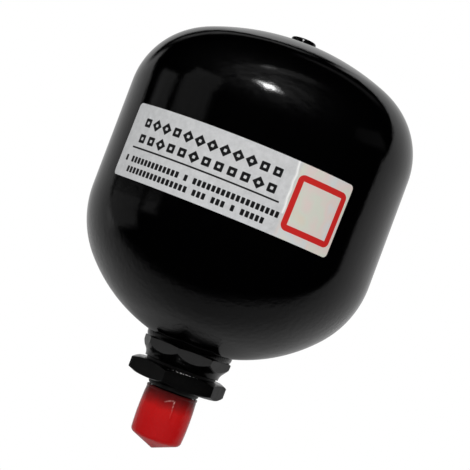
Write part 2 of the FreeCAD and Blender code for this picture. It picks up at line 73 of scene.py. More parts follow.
SHELL_RADIUS = half_width("upper_shell")
RING_RADIUS = half_width("clamp_ring")
RING_TOP = size_of("clamp_ring")[1].z
RIM_BEAD_TOP = size_of("diaphragm")[1].z
CAP_TOP = size_of("protective_cap")[1].z
HEXAGON_HEIGHT = size_of("adapter_seal")[0].z
WELD_LOW, WELD_HIGH = (corner.z for corner in size_of("girth_weld"))
BOSS_FOOT, SEAT_HEIGHT = (corner.z for corner in size_of("port_boss"))
STUB_END, STUB_TOP = (corner.z for corner in size_of("port_adapter"))
SPOT_FACE, HEAD_FOOT = (corner.z for corner in size_of("gas_plug_seal"))
PLUG_TIP, HEAD_TOP = (corner.z for corner in size_of("gas_plug"))

SHELL_WALL = 4.0
WELD_ROOT = 0.5
FIT_GAP = 0.05
RIM_BEAD_HEIGHT = 4.0
UPPER_DOME = {"knuckle_height": 96.8, "knuckle": 28.3, "crown": 89.4, "side": 1}
LOWER_DOME = {"knuckle_height": 57.0, "knuckle": 36.0, "crown": 58.0, "side": -1}
DOME_STEPS = 24
SPOT_RADIUS = 5.4
PORT_HOLE = 12.05
PLUG_BORE = 3.05

INNER_RADIUS = SHELL_RADIUS - SHELL_WALL
RECESS_RADIUS = RING_RADIUS + FIT_GAP
WELD_MIDDLE = (WELD_LOW + WELD_HIGH) / 2
RIM_LEDGE = RIM_BEAD_TOP - RIM_BEAD_HEIGHT


# Outlines: lists of (radius, height) points

def arc(centre, radius, first, last, steps):
    """points on an arc, both ends included"""
    angles = [math.radians(first + (last - first) * step / steps) for step in range(steps + 1)]
    return [(centre[0] + radius * math.cos(a), centre[1] + radius * math.sin(a)) for a in angles]


def swollen(start, end, radius, steps):
    """points on an arc from start to end that swells to the left of the way between them"""
    across, up = end[0] - start[0], end[1] - start[1]
    chord = math.hypot(across, up)
    back = math.sqrt(radius ** 2 - chord ** 2 / 4)
    centre = ((start[0] + end[0]) / 2 + up / chord * back, (start[1] + end[1]) / 2 - across / chord * back)
    first = math.atan2(start[1] - centre[1], start[0] - centre[0])
    last = math.atan2(end[1] - centre[1], end[0] - centre[0])
    sweep = (last - first + math.pi) % math.tau - math.pi
    return arc(centre, radius, math.degrees(first), math.degrees(first + sweep), steps)


def finely(line, longest):
    """a line with its straight runs divided, so that none is longer than asked; its end is left out"""
    points = []
    for start, end in zip(line, line[1:]):
        parts = max(1, math.ceil(math.dist(start, end) / longest))
        points += [
            (start[0] + (end[0] - start[0]) * part / parts, start[1] + (end[1] - start[1]) * part / parts)
            for part in range(parts)
        ]
    return points


def dome_centre(dome):
    """height of the centre of the dome's crown"""
    rise = math.sqrt((dome["crown"] - dome["knuckle"]) ** 2 - (SHELL_RADIUS - dome["knuckle"]) ** 2)
    return dome["knuckle_height"] - dome["side"] * rise


def crown_height(dome, inset, radius):
    """height of the dome's crown at a radius, on the surface that lies the inset inside it"""
    return dome_centre(dome) + dome["side"] * math.sqrt((dome["crown"] - inset) ** 2 - radius ** 2)


def dome_line(dome, inset, end_radius):
    """points from the cylinder over knuckle and crown to a radius near the axis"""
    across = SHELL_RADIUS - dome["knuckle"]
    lean = math.degrees(math.acos(across / (dome["crown"] - dome["knuckle"])))
    last = math.degrees(math.acos(end_radius / (dome["crown"] - inset)))
    side = dome["side"]
    knuckle_centre = (across, dome["knuckle_height"])
    knuckle = arc(knuckle_centre, dome["knuckle"] - inset, 0, side * lean, DOME_STEPS)
    crown = arc((0, dome_centre(dome)), dome["crown"] - inset, side * lean, side * last, DOME_STEPS)
    return knuckle + crown[1:]


# Meshes and pieces

MERGE_DISTANCE = 0.0005
SHARP_ANGLE = 32.0


def lathe(name, outline, around=AROUND, reach=None, start=0):
    """a mesh turned about Z from a closed outline; reach(radius, height, angle) may move a point"""
    vertices, faces = [], []
    for radius, height in outline:
        for step in range(around):
            angle = math.radians(start) + math.tau * step / around
            actual = reach(radius, height, angle) if reach else radius
            vertices.append((actual * math.cos(angle) * MM, actual * math.sin(angle) * MM, height * MM))
    for row in range(len(outline)):
        below = row * around
        above = (row + 1) % len(outline) * around
        for step in range(around):
            beside = (step + 1) % around
            faces.append((below + step, below + beside, above + beside, above + step))
    mesh = bpy.data.meshes.new(name)
    mesh.from_pydata(vertices, [], faces)
    mesh.update()
    fixer = bmesh.new()
    fixer.from_mesh(mesh)
    bmesh.ops.remove_doubles(fixer, verts=fixer.verts, dist=MERGE_DISTANCE * MM)
    bmesh.ops.recalc_face_normals(fixer, faces=fixer.faces)
    fixer.to_mesh(mesh)
    fixer.free()
    mesh.shade_smooth()
    mesh.set_sharp_from_angle(angle=math.radians(SHARP_ANGLE))
    return mesh


def new_piece(name, mesh, material, node):
    """links a finished mesh, gives it its material and hides the CAD node it stands in for"""
    piece = bpy.data.objects.new(name, mesh)
    bpy.context.scene.collection.objects.link(piece)
    mesh.materials.append(material)
    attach(piece, "housing")
    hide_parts(node)
    return piece


def turned_piece(name, outline, material, slot, node, **turning):
    """a piece from an outline; the turning goes to lathe"""
    return new_piece(name, lathe(name, outline, **turning), material, node)


def mark(mesh, name, share):
    """stores share(across, deep, height) of every point as an attribute"""
    layer = mesh.attributes.new(name, "FLOAT", "POINT")
    places = [tuple(number / MM for number in vertex.co) for vertex in mesh.vertices]
    layer.data.foreach_set("value", [float(share(*place)) for place in places])


def ridge(across, up, line, width):
    """1 on a line of points, falling off to 0 over the given width"""
    place = Vector((across, up))
    nearest = math.inf
    for start, end in zip(line, line[1:]):
        start, end = Vector(start), Vector(end)
        along = max(0, min(1, (place - start).dot(end - start) / (end - start).length_squared))
        nearest = min(nearest, (place - start.lerp(end, along)).length)
    return math.exp(-(nearest / width) ** 2)


# Material helpers

class Field:
    """a number or colour that varies over a surface; ordinary arithmetic on it adds math nodes"""

    def __init__(self, tree, source):
        self.tree = tree
        self.source = source

    def feed(self, socket):
        self.tree.links.new(self.source, socket)

    def math(self, operation, *others, clamp=False):
        node = add(self.tree, "ShaderNodeMath", operation=operation, use_clamp=clamp)
        for socket, item in zip(node.inputs, (self, *others)):
            if isinstance(item, Field):
                item.feed(socket)
            else:
                socket.default_value = item
        return Field(self.tree, node.outputs["Value"])

    def __add__(self, other):
        return self.math("ADD", other)

    def __sub__(self, other):
        return self.math("SUBTRACT", other)

    def __mul__(self, other):
        return self.math("MULTIPLY", other)

    def __truediv__(self, other):
        return self.math("DIVIDE", other)

    def __neg__(self):
        return self * -1

    def __abs__(self):
        return self.math("ABSOLUTE")

    def most(self, other):
        return self.math("MAXIMUM", other)

    def least(self, other):
        return self.math("MINIMUM", other)

    def clamped(self):
        """kept from 0 to 1"""
        return self.math("ADD", 0, clamp=True)

    def opposite(self):
        """1 where this is 0, and 0 where it is 1"""
        return -self + 1

    def random(self):
        """a steady random number from 0 to 1 for each whole number"""
        node = add(self.tree, "ShaderNodeTexWhiteNoise", noise_dimensions="1D")
        self.feed(node.inputs["W"])
        return Field(self.tree, node.outputs["Value"])


def add(tree, kind, inputs=None, **settings):
    """a node with its settings and unlinked inputs"""
    node = tree.nodes.new(kind)
    for key, setting in settings.items():
        setattr(node, key, setting)
    for socket, number in (inputs or {}).items():
        node.inputs[socket].default_value = number
    return node


def new_material(name):
    material = bpy.data.materials.new(name)
    material.use_nodes = True
    return material, material.node_tree, material.node_tree.nodes["Principled BSDF"]


def grey(level):
    return (level, level, level)


def axes(tree, source):
    """the three coordinates of a vector socket"""
    split = add(tree, "ShaderNodeSeparateXYZ")
    tree.links.new(source, split.inputs["Vector"])
    return [Field(tree, split.outputs[axis]) for axis in "XYZ"]


def coordinates(tree, space="Object"):
    return add(tree, "ShaderNodeTexCoord").outputs[space]


def cloud(tree, scale, detail, roughness, stretch=(1, 1, 1), space="Object"):
    """noise in the object's own metres, or over the directions of the world"""
    mapping = add(tree, "ShaderNodeMapping", inputs={"Scale": stretch})
    texture = add(tree, "ShaderNodeTexNoise",
                  inputs={"Scale": scale, "Detail": detail, "Roughness": roughness})
    tree.links.new(coordinates(tree, space), mapping.inputs["Vector"])
    tree.links.new(mapping.outputs["Vector"], texture.inputs["Vector"])
    return Field(tree, texture.outputs["Fac"])


def attribute(tree, name):
    return Field(tree, add(tree, "ShaderNodeAttribute", attribute_name=name).outputs["Fac"])


def ramp(field, stops):
    """the field as a colour, through a ramp with (position, colour) stops"""
    node = add(field.tree, "ShaderNodeValToRGB")
    band = node.color_ramp
    while len(band.elements) < len(stops):
        band.elements.new(0.5)
    for element, (position, colour) in zip(band.elements, stops):
        element.position = position
        element.color = (*colour, 1)
    field.feed(node.inputs["Fac"])
    return Field(field.tree, node.outputs["Color"])


def bump(field, distance, before=None):
    """a normal tilted by the field, on top of the normal before it"""
    node = add(field.tree, "ShaderNodeBump", inputs={"Strength": 1.0, "Distance": distance})
    field.feed(node.inputs["Height"])
    if before:
        before.feed(node.inputs["Normal"])
    return Field(field.tree, node.outputs["Normal"])


def mixed(share, first, second):
    """a colour that blends from first to second by the share; both are colours or fields"""
    node = add(share.tree, "ShaderNodeMix", data_type="RGBA")
    share.feed(node.inputs["Factor"])
    for socket, colour in ((node.inputs[6], first), (node.inputs[7], second)):
        if isinstance(colour, Field):
            colour.feed(socket)
        else:
            socket.default_value = (*colour, 1)
    return Field(share.tree, node.outputs[2])


def mixed_field(share, first, second):
    """the same for numbers"""
    return first * share.opposite() + second * share


# Materials

PAINT_IOR = 1.5
FLARE_RADIUS = 0.0305
FLARE_RISE = 11.5
LOW_SIDE_TOP = 0.05
LOW_SIDE_FADE = 0.01
LEAST_TEXTURE = 0.1
SOFT_EDGE = 0.0005


def make_gloss_paint():
    """deep black gloss paint: orange peel, broad ripples and dulled patches, all stronger on the low side.
    Round the boss the shading flares, so that the paint mirrors the boss as the photo shows."""
    material, tree, shader = new_material("gloss_black_paint")
    shader.inputs["Base Color"].default_value = (0.0004, 0.0004, 0.0005, 1)
    shader.inputs["IOR"].default_value = PAINT_IOR
    across, deep, up = axes(tree, coordinates(tree))
    axis_distance = (across * across + deep * deep).math("SQRT")
    low_side = ((-up + LOW_SIDE_TOP) / LOW_SIDE_FADE).clamped()
    near_boss = (-axis_distance + FLARE_RADIUS).most(0)
    texture = (near_boss * -70 + 1).most(LEAST_TEXTURE)
    patches = cloud(tree, scale=38, detail=4, roughness=0.6)
    (((patches - 0.35).most(0) * 0.13 + low_side * 0.02) * texture + 0.035).feed(shader.inputs["Roughness"])
    ripple = cloud(tree, scale=60, detail=2, roughness=0.5)
    peel = cloud(tree, scale=560, detail=4, roughness=0.65)
    height = near_boss * near_boss * FLARE_RISE * low_side + ripple * 0.0001
    height = height + peel * (low_side * 0.00010 + 0.00003) * texture
    bump(height, 1.0).feed(shader.inputs["Normal"])
    return material


def make_fitting_paint(name, dull_range, satin_base, satin_roughness):
    """the same paint over forged and machined steel: satin where "satin" is 1, with painted glints, light
    grey specks, where "painted_glints" is 1
    """
    material, tree, shader = new_material(name)
    shader.inputs["IOR"].default_value = PAINT_IOR
    patches = cloud(tree, scale=260, detail=5, roughness=0.65)
    satin = attribute(tree, "satin")
    colour = mixed(satin * (patches * 0.9 + 0.55), (0.0008, 0.0008, 0.000832), grey(satin_base))
    specks = cloud(tree, scale=1500, detail=2, roughness=0.5)
    # painted highlights: light grey specks where "painted_glints" is high stand in for glints on edges and
    # rims
    glint_mask = ((specks + attribute(tree, "painted_glints") * 0.6 - 1.14) * 14).clamped()
    mixed(glint_mask, colour, grey(0.62)).feed(shader.inputs["Base Color"])
    dull = ramp(patches, [(0.3, grey(dull_range[0])), (0.7, grey(dull_range[1]))])
    (dull + satin * satin_roughness).feed(shader.inputs["Roughness"])
    soft_edge = add(tree, "ShaderNodeBevel", samples=8, inputs={"Radius": SOFT_EDGE})
    broad = bump(cloud(tree, 300, 3, 0.5), 0.0001, before=Field(tree, soft_edge.outputs["Normal"]))
    bump(cloud(tree, 1400, 4, 0.6), 0.0001 / 12, before=broad).feed(shader.inputs["Normal"])
    return material


VINYL_FOOT = -0.0245
VINYL_RIM = -0.002
VINYL_SWAY = 0.0022


def make_red_vinyl():
    """dip-moulded red vinyl: painted shade from the hexagon darkens it towards the rim, it is darker towards
    the nose, and a painted highlight lightens it where "crease_highlight" is 1
    """
    material, tree, shader = new_material("red_vinyl")
    shader.inputs["IOR"].default_value = 1.45
    shader.inputs["Roughness"].default_value = 0.2
    shader.inputs["Specular IOR Level"].default_value = 0.33
    patches = cloud(tree, scale=320, detail=3, roughness=0.55)
    height = axes(tree, coordinates(tree))[2] + (patches - 0.5) * VINYL_SWAY
    # painted shade: the ramp darkens the red towards the rim, under the hexagon; it is darker towards the
    # nose too
    colour = ramp(((height - VINYL_FOOT) / (VINYL_RIM - VINYL_FOOT)).clamped(), [
        (0.0, (0.24, 0.010, 0.010)),
        (0.14, (0.39, 0.004, 0.005)),
        (0.45, (0.42, 0.004, 0.005)),
        (0.70, (0.47, 0.005, 0.005)),
        (0.79, (0.30, 0.005, 0.005)),
        (0.90, (0.13, 0.005, 0.005)),
        (1.0, (0.05, 0.004, 0.004)),
    ])
    # painted highlight: the red turns pinkish white along the fold in front
    mixed(attribute(tree, "crease_highlight"), colour, (0.85, 0.42, 0.38)).feed(shader.inputs["Base Color"])
    bump(patches, 0.00025).feed(shader.inputs["Normal"])
    return material


def make_rubber():
    material, tree, shader = new_material("black_rubber")
    shader.inputs["Roughness"].default_value = 0.48
    specks = cloud(tree, scale=700, detail=4, roughness=0.6)
    ramp(specks, [(0.3, grey(0.004)), (0.75, grey(0.014))]).feed(shader.inputs["Base Color"])
    bump(specks, 0.00002).feed(shader.inputs["Normal"])
    return material


def make_steel():
    """turned steel with faint tool marks round the axis"""
    material, tree, shader = new_material("turned_steel")
    shader.inputs["Metallic"].default_value = 1.0
    marks = cloud(tree, scale=160, detail=4, roughness=0.6, stretch=(1, 1, 18))
    ramp(marks, [(0.25, grey(0.36)), (0.75, grey(0.58))]).feed(shader.inputs["Base Color"])
    ramp(marks, [(0.25, grey(0.28)), (0.75, grey(0.42))]).feed(shader.inputs["Roughness"])
    bump(marks, 0.000015).feed(shader.inputs["Normal"])
    return material


def make_seal_metal():
    material, tree, shader = new_material("soft_seal_metal")
    shader.inputs["Metallic"].default_value = 1.0
    shader.inputs["Roughness"].default_value = 0.4
    marks = cloud(tree, scale=500, detail=3, roughness=0.5)
    ramp(marks, [(0.3, grey(0.42)), (0.7, grey(0.6))]).feed(shader.inputs["Base Color"])
    return material


# The label's print, in millimetres from the label's middle

LABEL_LENGTH = 87.5
LABEL_HEIGHT = 25.8
FOLD = [
    (21.5, 12.9), (21.8, 10.5), (22.2, 8.4), (21.9, 5.7),
    (22.3, 3.0), (22.1, 0.3), (22.6, -2.4), (22.5, -4.8),
]
INK_EDGE = 0.08
MARKS_LEFT = -37.3
MARK_COUNT = 12
MARK_PITCH = 4.65
MARK_HALF = 1.5
MARK_CORE = 0.5
MARK_ROWS = [{"height": 6.85, "seed": 1}, {"height": 1.2, "seed": 60}]
RULE = {"middle": -9.2, "height": -2.2, "half_length": 29.3, "half_width": 0.30}
DASH_PITCH = 1.72
DASH_GAPS = 0.09
DASH_ROWS = [
    {"left": -40.0, "right": 21.92, "height": -6.15, "seed": 3},
    {"left": -37.1, "right": 17.94, "height": -9.75, "seed": 40},
]
FRAME = {"middle": 33.0, "height": -0.3, "half": 9.7, "corner": 2.2, "stroke": 2.1}
INK = (0.003, 0.003, 0.004)
FRAME_RED = (0.56, 0.010, 0.008)
WORN_WHITE = (0.92, 0.92, 0.90)


def box_distance(across, up, half_across, half_up, corner):
    """distance from the edge of a rounded rectangle about the origin, negative inside"""
    over_across = abs(across) - (half_across - corner)
    over_up = abs(up) - (half_up - corner)
    outside = (over_across.most(0) * over_across.most(0) + over_up.most(0) * over_up.most(0)).math("SQRT")
    return outside + over_across.most(over_up).least(0) - corner


def cover(distance):
    """1 where the distance is negative, with a narrow soft edge"""
    return (distance * (-1 / INK_EDGE) + 0.5).clamped()


def stretch_of(along, low, high):
    """1 between two places along the label"""
    return cover(abs(along - (low + high) / 2) - (high - low) / 2)


def cells(along, first, pitch):
    """the place from the middle of its cell, and the cell's number"""
    number = ((along - first) / pitch).math("FLOOR")
    return along - first - (number + 0.5) * pitch, number


def printed(along, up):
    """where ink lies: two rows of framed squares and diamonds, a rule and two rows of dashes"""
    rule = box_distance(along - RULE["middle"], up - RULE["height"],
                        RULE["half_length"], RULE["half_width"], 0.1)
    ink = cover(rule)
    across, number = cells(along, MARKS_LEFT, MARK_PITCH)
    inside = stretch_of(along, MARKS_LEFT, MARKS_LEFT + MARK_COUNT * MARK_PITCH)
    for row in MARK_ROWS:
        over = up - row["height"]
        square = cover(box_distance(across, over, MARK_HALF, MARK_HALF, 0.3))
        diamond = cover((abs(across) + abs(over) - 2.15) * 0.71)
        core = cover(box_distance(across, over, MARK_CORE, MARK_CORE, 0.2))
        chosen = (number + row["seed"]).random().math("GREATER_THAN", 0.5)
        ink = ink.most(mixed_field(chosen, square, diamond) * core.opposite() * inside)
    for row in DASH_ROWS:
        across, number = cells(along, row["left"], DASH_PITCH)
        dash = cover(box_distance(across, up - row["height"], 0.62, 1.05, 0.25))
        kept = (number + row["seed"]).random().math("GREATER_THAN", DASH_GAPS)
        ink = ink.most(dash * kept * stretch_of(along, row["left"], row["right"]))
    return ink


def make_label_film():
    """silver film with a generic print and a plain red frame, iridescent right of the fold"""
    material, tree, shader = new_material("label_silver_film")
    shader.inputs["Roughness"].default_value = 0.42
    shader.inputs["Metallic"].default_value = 0.1
    shader.inputs["Specular IOR Level"].default_value = 0.3
    place = add(tree, "ShaderNodeUVMap", uv_map="label_place").outputs["UV"]
    along, up = ((axis - 0.5) * LABEL_LENGTH for axis in axes(tree, place)[:2])
    mottle = cloud(tree, scale=420, detail=5, roughness=0.7)
    silver = ramp(mottle, [(0.3, (0.50, 0.505, 0.51)), (0.7, (0.62, 0.625, 0.63))])
    sheen = cloud(tree, scale=95, detail=2, roughness=0.5)
    pearl = ramp(sheen, [
        (0.30, (0.66, 0.60, 0.50)),
        (0.42, (0.61, 0.63, 0.55)),
        (0.52, (0.68, 0.58, 0.54)),
        (0.62, (0.59, 0.62, 0.62)),
        (0.74, (0.69, 0.63, 0.53)),
    ])
    colour = mixed(((along - FOLD[2][0]) / 1.2).clamped(), silver, pearl)
    outer = box_distance(along - FRAME["middle"], up - FRAME["height"],
                         FRAME["half"], FRAME["half"], FRAME["corner"])
    half_stroke = FRAME["stroke"] / 2
    colour = mixed(cover(abs(outer + half_stroke) - half_stroke), colour, FRAME_RED)
    colour = mixed(printed(along, up) * 0.99, colour, INK)
    mixed(attribute(tree, "fold"), colour, WORN_WHITE).feed(shader.inputs["Base Color"])
    bump(cloud(tree, scale=1600, detail=3, roughness=0.6), 0.000006).feed(shader.inputs["Normal"])
    return material


GLOSS_PAINT = make_gloss_paint()
BOSS_PAINT = make_fitting_paint("boss_black_paint", (0.10, 0.22), satin_base=0.03, satin_roughness=0.25)
HEXAGON_PAINT = make_fitting_paint("hexagon_black_paint", (0.07, 0.20),
                                   satin_base=0.0010, satin_roughness=0.45)
RED_VINYL = make_red_vinyl()
RUBBER = make_rubber()
LABEL_SILVER = make_label_film()
STEEL = make_steel()
SEAL_METAL = make_seal_metal()


# Shells and girth weld

def make_shells():
    upper = [(RECESS_RADIUS, WELD_MIDDLE + WELD_ROOT), (SHELL_RADIUS, WELD_HIGH)]
    upper += dome_line(UPPER_DOME, 0, SPOT_RADIUS)
    upper += [(SPOT_RADIUS, SPOT_FACE), (PLUG_BORE, SPOT_FACE)]
    upper += reversed(dome_line(UPPER_DOME, SHELL_WALL, PLUG_BORE))
    upper += [(INNER_RADIUS, RING_TOP + FIT_GAP), (RECESS_RADIUS, RING_TOP + FIT_GAP)]
    lower = [(RECESS_RADIUS, WELD_MIDDLE - WELD_ROOT), (SHELL_RADIUS, WELD_LOW)]
    lower += dome_line(LOWER_DOME, 0, PORT_HOLE)
    lower += reversed(dome_line(LOWER_DOME, SHELL_WALL, PORT_HOLE))
    lower += [(INNER_RADIUS, RIM_LEDGE), (RECESS_RADIUS, RIM_LEDGE)]
    weld = [
        (RECESS_RADIUS, WELD_MIDDLE - WELD_ROOT),
        (SHELL_RADIUS, WELD_LOW),
        (SHELL_RADIUS, WELD_HIGH),
        (RECESS_RADIUS, WELD_MIDDLE + WELD_ROOT),
    ]
    turned_piece("upper_shell_skin", upper, GLOSS_PAINT, "black_paint", "upper_shell")
    turned_piece("lower_shell_skin", lower, GLOSS_PAINT, "black_paint", "lower_shell")
    turned_piece("girth_weld_bead", weld, GLOSS_PAINT, "black_paint", "girth_weld")


# Flats on turned pieces

FLAT_TOLERANCE = 0.03


def off_flat(angle, sides, turn):
    """the angle from the middle of the nearest flat, in radians"""
    sector = math.tau / sides
    return (angle - math.radians(turn) + sector / 2) % sector - sector / 2


def flat_reach(sides, turn, distance):
    """pulls a point in to the nearest flat; distance(height) is the flat's distance from the axis"""
    def reach(radius, height, angle):
        return min(radius, distance(height) / math.cos(off_flat(angle, sides, turn)))

    return reach


def mark_flats(mesh, sides, turn, distance, top):
    """gives the flats below a height their satin paint"""
    def share(across, deep, height):
        off = off_flat(math.atan2(deep, across), sides, turn)
        off_plane = abs(math.hypot(across, deep) * math.cos(off) - distance(height))
        return height < top and off_plane < FLAT_TOLERANCE

    mark(mesh, "satin", share)


# Port boss and its weld

BOSS_RADIUS = 16.5
BOSS_SHOULDER = 14.6
BOSS_RIM = BOSS_SHOULDER - 1.0
BOSS_BELLY = 11.8
BOSS_FLATS = 30.6
BOSS_SIDES = 8
BOSS_TURN = 11.9
BOSS_DRAFT = 4.0
SPIGOT_RADIUS = 12.0
WAIST_RADIUS = 13.8
WAIST_ROUND = 4.0
WAIST_SLOPE = 37.0
OIL_RADIUS = 5.0
THREAD_RADIUS = 9.0
THREAD_BEVEL = 0.5
SEAT_WEB = 1.8
BEAD_TOE = 16.0
BEAD_FOOT = 15.5
BEAD_ROUND = 3.0
BEAD_AROUND = 720
BEAD_RIPPLES = 84


def boss_flat(height):
    """distance of the drafted flats from the axis"""
    return BOSS_FLATS / 2 - (BOSS_RIM - height) * math.tan(math.radians(BOSS_DRAFT))


def make_port_boss():
    """a turned collar with a conical shoulder, eight drafted flats and a waist"""
    waist = arc((WAIST_RADIUS + WAIST_ROUND, BOSS_FOOT), WAIST_ROUND, 180 - WAIST_SLOPE, 180, 12)
    side = [(SPIGOT_RADIUS, BOSS_SHOULDER), (BOSS_RADIUS, BOSS_RIM), (BOSS_RADIUS, BOSS_BELLY), waist[0]]
    outline = [(OIL_RADIUS, SEAT_HEIGHT), (SPIGOT_RADIUS, SEAT_HEIGHT)]
    outline += finely(side, FINE_STEP) + waist
    outline += [
        (THREAD_RADIUS + THREAD_BEVEL, BOSS_FOOT),
        (THREAD_RADIUS, BOSS_FOOT + THREAD_BEVEL),
        (THREAD_RADIUS, SEAT_HEIGHT - SEAT_WEB),
        (OIL_RADIUS, SEAT_HEIGHT - SEAT_WEB),
    ]
    flats = flat_reach(BOSS_SIDES, BOSS_TURN, boss_flat)

    def reach(radius, height, angle):
        return flats(radius, height, angle) if radius > SPIGOT_RADIUS else radius

    mesh = lathe("port_boss_collar", outline, around=FINELY_AROUND, reach=reach, start=BOSS_TURN)
    mark_flats(mesh, BOSS_SIDES, BOSS_TURN, boss_flat, BOSS_RIM + 0.3)
    new_piece("port_boss_collar", mesh, BOSS_PAINT, "port_boss")


def make_boss_weld():
    """the weld bead between boss and shell, with the ripples of its run"""
    def shoulder(radius):
        drop = (radius - SPIGOT_RADIUS) * (BOSS_SHOULDER - BOSS_RIM) / (BOSS_RADIUS - SPIGOT_RADIUS)
        return BOSS_SHOULDER - drop

    toe = (BEAD_TOE, crown_height(LOWER_DOME, 0, BEAD_TOE))
    foot = (BEAD_FOOT, shoulder(BEAD_FOOT))
    outline = [(PORT_HOLE, shoulder(PORT_HOLE)), (PORT_HOLE, crown_height(LOWER_DOME, 0, PORT_HOLE))]
    outline += [toe] + swollen(toe, foot, BEAD_ROUND, 12)[1:]

    def ripple(radius, height, angle):
        if radius <= BEAD_FOOT or radius == BEAD_TOE:
            return radius
        wave = 0.03 * math.sin(BEAD_RIPPLES * angle + 2.5 * height)
        place = Vector((math.cos(angle), math.sin(angle), height * 0.2)) * 3
        return radius - 0.06 + wave + 0.08 * noise.noise(place)

    turned_piece("boss_weld_bead", outline, BOSS_PAINT, "black_paint", "boss_weld",
                 around=BEAD_AROUND, reach=ripple)


# Port adapter and its seals

HEXAGON_SIDES = 6
HEXAGON_TURN = -14.7
HEXAGON_FLAT = 16.0
HEXAGON_CORNER = HEXAGON_FLAT / math.cos(math.pi / HEXAGON_SIDES)
HEXAGON_BEVEL = 1.2
HEXAGON_LAND = 0.3
# where the painted glints lie along the hexagon's upper front edge
EDGE_GLINTS = {"turn": -82.0, "spread": 34.0, "width": 0.16, "share": 1.12}
STUB_RADIUS = 8.95
STUB_BEVEL = 1.2
NECK_RADIUS = 7.5
NECK_LENGTH = 2.2
RELIEF_RADIUS = 10.2
RELIEF_DEPTH = 0.2
SEAL_BORE = 9.5
SEAL_BEVEL = 0.2
CORD_RADIUS = 0.95


def make_port_adapter():
    """a hexagon with a threaded stub above and below; painted glints lie along its upper front edge"""
    bevel_start = HEXAGON_FLAT - HEXAGON_LAND
    neck_end = -NECK_LENGTH - (STUB_RADIUS - NECK_RADIUS) / 2
    upper_bevel = [(bevel_start, HEXAGON_HEIGHT), (HEXAGON_CORNER, HEXAGON_HEIGHT - HEXAGON_BEVEL)]
    lower_bevel = [(HEXAGON_CORNER, HEXAGON_BEVEL), (bevel_start, 0)]
    outline = [
        (OIL_RADIUS, STUB_TOP),
        (STUB_RADIUS - STUB_BEVEL, STUB_TOP),
        (STUB_RADIUS, STUB_TOP - STUB_BEVEL),
        (STUB_RADIUS, HEXAGON_HEIGHT),
        *finely(upper_bevel, FINE_STEP),
        upper_bevel[1],
        *finely(lower_bevel, FINE_STEP),
        lower_bevel[1],
        (RELIEF_RADIUS, 0),
        (RELIEF_RADIUS, RELIEF_DEPTH),
        (NECK_RADIUS, RELIEF_DEPTH),
        (NECK_RADIUS, -NECK_LENGTH),
        (STUB_RADIUS, neck_end),
        (STUB_RADIUS, STUB_END + STUB_BEVEL),
        (STUB_RADIUS - STUB_BEVEL, STUB_END),
        (OIL_RADIUS, STUB_END),
    ]

    def flat(height):
        return HEXAGON_FLAT

    # painted highlight: the share of glint specks along the upper front edge
    def glint_share(across, deep, height):
        radius = math.hypot(across, deep)
        edge = HEXAGON_HEIGHT - HEXAGON_BEVEL * (radius - bevel_start) / (HEXAGON_CORNER - bevel_start)
        turned = math.degrees(math.atan2(deep, across)) - EDGE_GLINTS["turn"]
        off_edge = (height - edge) / EDGE_GLINTS["width"]
        near = math.exp(-off_edge ** 2 - (turned / EDGE_GLINTS["spread"]) ** 2)
        return (radius > bevel_start + 0.02) * EDGE_GLINTS["share"] * near

    reach = flat_reach(HEXAGON_SIDES, HEXAGON_TURN, flat)
    mesh = lathe("port_adapter_body", outline, around=FINELY_AROUND, reach=reach, start=HEXAGON_TURN)
    mark_flats(mesh, HEXAGON_SIDES, HEXAGON_TURN, flat, HEXAGON_HEIGHT - 0.4)
    mark(mesh, "painted_glints", glint_share)
    new_piece("port_adapter_body", mesh, HEXAGON_PAINT, "port_adapter")


def washer_outline(bore, outside, low, high, bevel):
    """a flat ring whose outer edges are bevelled"""
    return [
        (bore, low), (outside - bevel, low), (outside, low + bevel),
        (outside, high - bevel), (outside - bevel, high), (bore, high),
    ]


def make_port_seals():
    low, high = size_of("adapter_seal")
    washer = washer_outline(SEAL_BORE, high.x, low.z, high.z, SEAL_BEVEL)
    turned_piece("adapter_seal_washer", washer, RUBBER, "black_rubber", "adapter_seal")
    low, high = size_of("port_seal_ring")
    cord = arc((high.x - CORD_RADIUS, (low.z + high.z) / 2), CORD_RADIUS, 0, 345, 23)
    turned_piece("port_seal_ring_cord", cord, RUBBER, "black_rubber", "port_seal_ring")


# Protective cap

CAP_WALL = 1.1
CAP_INSIDE = 9.0
CAP_RIM = 9.5
CAP_LIP = 0.22
CAP_FOOT = 9.45
CAP_FOOT_HEIGHT = -18.4
CAP_SWELL = 100.0
CAP_CORNER = 2.0
CAP_CONE = 22.5
CAP_NOSE = 1.0
CREASE = [(-1.3, -5.9), (0.4, -5.0), (2.0, -4.6), (2.1, -7.0), (2.5, -10.7)]
CREASE_CORNER = Vector(CREASE[2])
CREASE_FADE = 3.4


